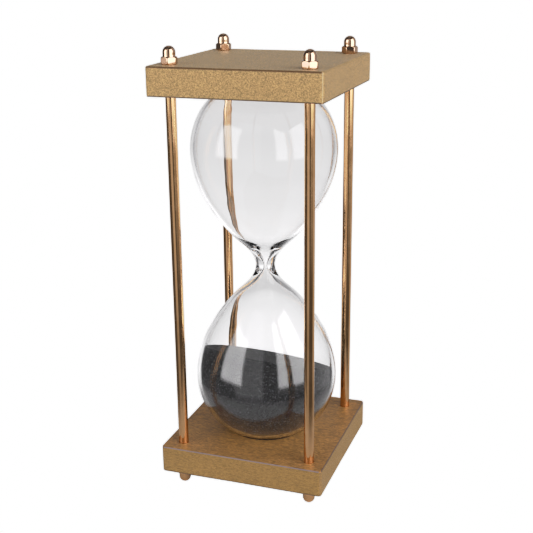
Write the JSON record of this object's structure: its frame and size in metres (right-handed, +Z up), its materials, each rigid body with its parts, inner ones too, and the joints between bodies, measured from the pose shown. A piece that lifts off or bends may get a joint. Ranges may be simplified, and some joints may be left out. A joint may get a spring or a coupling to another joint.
{
  "type": "hourglass",
  "caption": "Sand hourglass: a blown two-bulb glass held between square leather-wrapped plates by slim metal posts with domed cap nuts.",
  "frame": {"origin": "centre of the square footprint, on the plane that the four foot nuts stand on", "axes": "+Z up along the glass's own axis, through the neck; X and Y parallel to the plates' sides, -Y towards the front"},
  "size_m": [0.12, 0.12, 0.3145],
  "materials": {
    "gold_leather": "metallic gold leatherette with a fine pebbled grain, satin sheen",
    "board": "raw fibreboard, hidden under the leather",
    "copper_brass": "polished copper-toned brass plate",
    "steel": "zinc-plated threaded rod, hidden inside the posts",
    "clear_glass": "clear blown glass, smooth and glossy",
    "black_sand": "fine dry black sand",
    "rubber": "matt stopper, hidden in the top plate",
    "felt": "dense felt ring, hidden in the seat"
  },
  "bodies": {
    "root": {"base_core": "board", "base_wrap": "gold_leather", "base_inner_panel": "gold_leather", "base_seat_pad": "felt", "top_core": "board", "top_wrap": "gold_leather", "top_inner_panel": "gold_leather", "top_seat_pad": "felt", "post_tube_front_left": "copper_brass", "tie_rod_front_left": "steel", "cap_nut_top_front_left": "copper_brass", "cap_nut_foot_front_left": "copper_brass", "post_tube_front_right": "copper_brass", "tie_rod_front_right": "steel", "cap_nut_top_front_right": "copper_brass", "cap_nut_foot_front_right": "copper_brass", "post_tube_back_right": "copper_brass", "tie_rod_back_right": "steel", "cap_nut_top_back_right": "copper_brass", "cap_nut_foot_back_right": "copper_brass", "post_tube_back_left": "copper_brass", "tie_rod_back_left": "steel", "cap_nut_top_back_left": "copper_brass", "cap_nut_foot_back_left": "copper_brass", "glass_bulbs": "clear_glass", "sand": "black_sand", "fill_plug": "rubber"}
  },
  "joints": []
}
